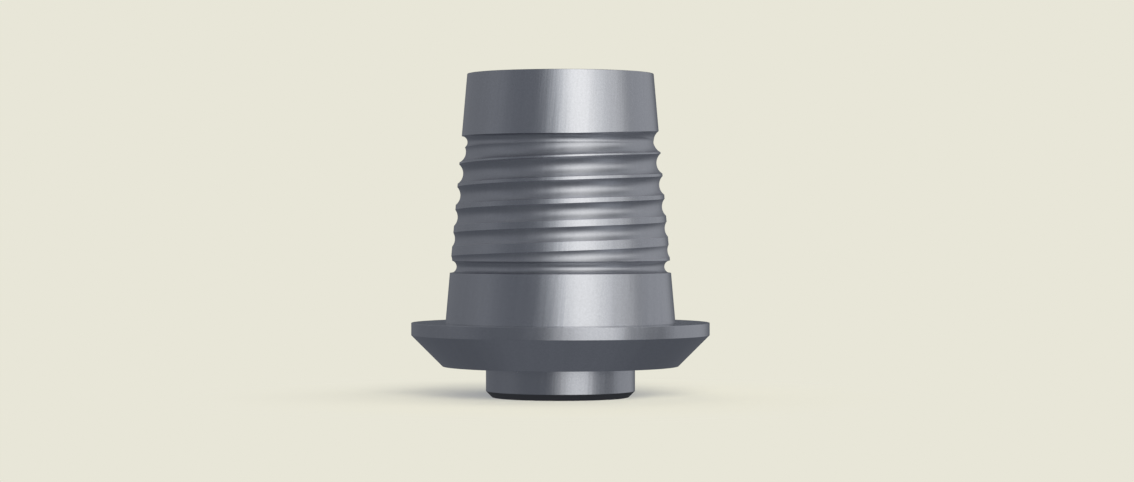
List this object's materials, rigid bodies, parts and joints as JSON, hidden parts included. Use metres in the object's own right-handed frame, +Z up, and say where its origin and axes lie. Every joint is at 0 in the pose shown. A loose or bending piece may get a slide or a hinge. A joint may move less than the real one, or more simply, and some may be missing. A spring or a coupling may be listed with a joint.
{
  "type": "dental abutment",
  "caption": "Round titanium bonding base: short hub, flared collar with a flat crown margin, tapered post with a spiral retention groove, and a through screw channel.",
  "frame": {"origin": "centre of the hub's foot, on the turning axis, where the part stands", "axes": "+Z up along the turning axis, from the hub to the rim of the post"},
  "size_m": [0.0048, 0.0048, 0.0052],
  "materials": {
    "titanium": "satin machined titanium alloy, bluish grey"
  },
  "bodies": {
    "root": {"abutment_body": "titanium"}
  },
  "joints": []
}
